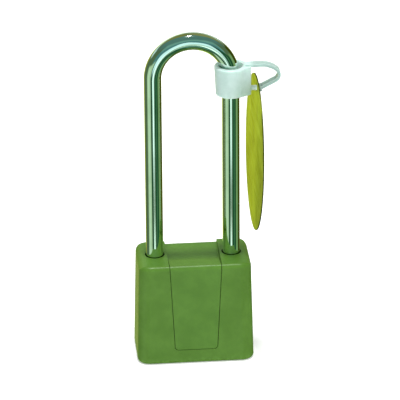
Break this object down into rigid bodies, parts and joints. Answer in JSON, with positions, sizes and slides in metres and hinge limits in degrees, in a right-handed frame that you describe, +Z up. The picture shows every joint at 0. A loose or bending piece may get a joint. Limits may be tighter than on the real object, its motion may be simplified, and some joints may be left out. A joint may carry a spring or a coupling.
{
  "type": "safety padlock",
  "caption": "Closed lockout padlock: moulded green body with inlaid front panel, long chrome shackle, slip-on collar and round brass number tag.",
  "frame": {"origin": "centre of the body's flat base", "axes": "+Z up along the shackle, -Y the front with the panel, +X toward the captive leg that carries the collar and tag"},
  "size_m": [0.0504, 0.0539, 0.119],
  "materials": {
    "body_nylon": "fine-grained glass-filled nylon",
    "panel_nylon": "smooth moulded nylon",
    "base_nylon": "moulded nylon",
    "chrome_steel": "polished chrome plate",
    "collar_nylon": "translucent natural nylon",
    "pin_nylon": "natural nylon",
    "tag_brass": "brushed sheet brass",
    "case_zinc": "die-cast zinc",
    "cylinder_brass": "machined brass",
    "pin_brass": "turned brass",
    "hard_steel": "hardened and polished",
    "spring_steel": "drawn spring wire",
    "screw_steel": "zinc plated"
  },
  "bodies": {
    "body": {"body_shell": "body_nylon", "front_panel": "panel_nylon", "base_plate": "base_nylon", "lock_case": "case_zinc", "retaining_screw": "screw_steel", "heel_pin": "hard_steel", "spring_seat": "hard_steel", "shackle_spring": "spring_steel", "cylinder_shell": "cylinder_brass", "driver_pins": "pin_brass", "pin_springs": "spring_steel", "chamber_cover": "cylinder_brass"},
    "shackle": {"shackle": "chrome_steel"},
    "plug": {"cylinder_plug": "cylinder_brass", "key_pins": "pin_brass", "plug_clip": "spring_steel", "locking_cam": "hard_steel"},
    "left_ball": {"ball_left": "hard_steel"},
    "right_ball": {"ball_right": "hard_steel"},
    "collar": {"tag_collar": "collar_nylon", "band_pin": "pin_nylon"},
    "tag": {"number_tag": "tag_brass"}
  },
  "joints": [
    {"name": "shackle_lift", "type": "slide", "parent": "body", "child": "shackle", "axis": [0, 0, 1], "range_m": [0, 0.0128], "deforming": ["shackle_spring"]},
    {"name": "plug_turn", "type": "hinge", "parent": "body", "child": "plug", "pos_m": [0, 0, 0.012], "axis": [0, 0, 1], "range_deg": [0, 90]},
    {"name": "left_ball_slide", "type": "slide", "parent": "body", "child": "left_ball", "axis": [-1, 0, 0], "range_m": [0, 0.0012]},
    {"name": "right_ball_slide", "type": "slide", "parent": "body", "child": "right_ball", "axis": [1, 0, 0], "range_m": [0, 0.0012]},
    {"name": "collar_slide", "type": "slide", "parent": "shackle", "child": "collar", "axis": [0, 0, -1], "range_m": [0, 0.0588]},
    {"name": "tag_swing", "type": "hinge", "parent": "collar", "child": "tag", "pos_m": [0.0222, 0, 0.09803], "axis": [0.9995, 0.0035, -0.0314], "range_deg": [-64, 64]}
  ],
  "couplings": [
    {"joint": "left_ball_slide", "follows": "plug_turn", "m_per_rad": 0.00076393},
    {"joint": "right_ball_slide", "follows": "plug_turn", "m_per_rad": 0.00076393}
  ]
}
